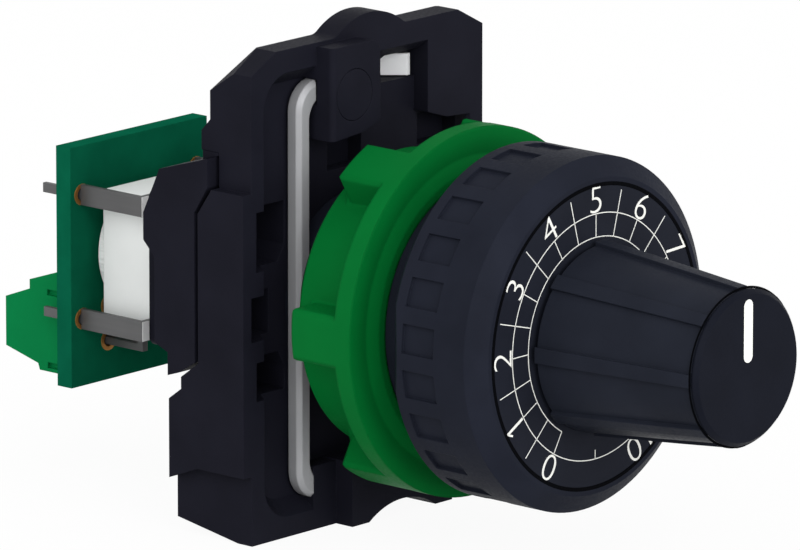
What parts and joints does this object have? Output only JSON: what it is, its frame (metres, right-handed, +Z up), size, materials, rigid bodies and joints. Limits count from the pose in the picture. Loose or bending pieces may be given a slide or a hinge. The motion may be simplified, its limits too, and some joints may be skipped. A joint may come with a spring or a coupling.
{
  "type": "panel potentiometer",
  "caption": "Panel-mounted rotary potentiometer with a fluted pointer knob, a numbered dial, a lobed fixing nut, a rear fixing collar and a board with screw terminals.",
  "frame": {"origin": "on the knob's axis in the plane of the bezel's rear face, which meets the front of the panel", "axes": "+Y runs back along the knob's axis through the panel, +Z is up, +X is to the right seen from the front"},
  "size_m": [0.0304, 0.0756, 0.0419],
  "materials": {
    "knob_black": "fine satin",
    "print_white": "smooth",
    "brass": "machined",
    "aluminium": "ground",
    "dial_black": "satin",
    "head_black": "fine satin",
    "rubber": "matt",
    "nut_green": "satin",
    "steel": "drawn wire",
    "collar_black": "satin",
    "screw_steel": "zinc plated",
    "pot_white": "satin",
    "track_black": "matt",
    "tinned_metal": "tinned",
    "board_green": "solder mask",
    "copper": "plated",
    "terminal_green": "smooth"
  },
  "bodies": {
    "base": {"dial_plate": "dial_black", "head_body": "head_black", "shaft_seal": "rubber", "panel_seal": "rubber", "fixing_nut": "nut_green", "spring_frame": "steel", "collar_body": "collar_black", "latch_spring": "steel", "carrier": "collar_black", "pot_housing": "pot_white", "pot_bushing": "brass", "lock_washer": "steel", "pot_nut": "brass", "resistive_track": "track_black", "pot_pins": "tinned_metal", "support_blades": "tinned_metal", "circuit_board": "board_green", "solder_rings": "copper", "terminal_housing": "terminal_green", "clamp_bars": "tinned_metal"},
    "knob": {"knob_body": "knob_black", "knob_cap": "knob_black", "pointer_inlay": "print_white", "collet": "brass", "collet_nut": "brass", "control_shaft": "aluminium", "wiper_rotor": "pot_white", "wiper_contact": "brass"},
    "clamp_foot": {"clamp_foot": "collar_black"},
    "clamp_screw": {"clamp_screw": "screw_steel"},
    "screw_left": {"terminal_screw_left": "screw_steel"},
    "cage_left": {"wire_cage_left": "tinned_metal"},
    "screw_middle": {"terminal_screw_middle": "screw_steel"},
    "cage_middle": {"wire_cage_middle": "tinned_metal"},
    "screw_right": {"terminal_screw_right": "screw_steel"},
    "cage_right": {"wire_cage_right": "tinned_metal"}
  },
  "joints": [
    {"name": "knob_turn", "type": "hinge", "parent": "base", "child": "knob", "pos_m": [0, -0.0095, 0], "axis": [0, 1, 0], "range_deg": [-150, 150]},
    {"name": "clamp_foot_slide", "type": "slide", "parent": "base", "child": "clamp_foot", "axis": [0, -1, 0], "range_m": [0, 0.002]},
    {"name": "clamp_screw_turn", "type": "hinge", "parent": "clamp_foot", "child": "clamp_screw", "pos_m": [-0.0036, 0.018, 0.01705], "axis": [0, -1, 0], "range_deg": [0, 1440.1]},
    {"name": "terminal_screw_left_turn", "type": "hinge", "parent": "base", "child": "screw_left", "pos_m": [-0.00381, 0.048, -0.0072], "axis": [0, -1, 0], "range_deg": [0, 1530.1]},
    {"name": "wire_cage_left_rise", "type": "slide", "parent": "base", "child": "cage_left", "axis": [0, 1, 0], "range_m": [0, 0.0017]},
    {"name": "terminal_screw_middle_turn", "type": "hinge", "parent": "base", "child": "screw_middle", "pos_m": [0, 0.048, -0.0072], "axis": [0, -1, 0], "range_deg": [0, 1530.1]},
    {"name": "wire_cage_middle_rise", "type": "slide", "parent": "base", "child": "cage_middle", "axis": [0, 1, 0], "range_m": [0, 0.0017]},
    {"name": "terminal_screw_right_turn", "type": "hinge", "parent": "base", "child": "screw_right", "pos_m": [0.00381, 0.048, -0.0072], "axis": [0, -1, 0], "range_deg": [0, 1530.1]},
    {"name": "wire_cage_right_rise", "type": "slide", "parent": "base", "child": "cage_right", "axis": [0, 1, 0], "range_m": [0, 0.0017]}
  ],
  "couplings": [
    {"joint": "clamp_screw_turn", "follows": "clamp_foot_slide", "rad_per_m": 12566},
    {"joint": "terminal_screw_left_turn", "follows": "wire_cage_left_rise", "rad_per_m": 15708},
    {"joint": "terminal_screw_middle_turn", "follows": "wire_cage_middle_rise", "rad_per_m": 15708},
    {"joint": "terminal_screw_right_turn", "follows": "wire_cage_right_rise", "rad_per_m": 15708}
  ]
}
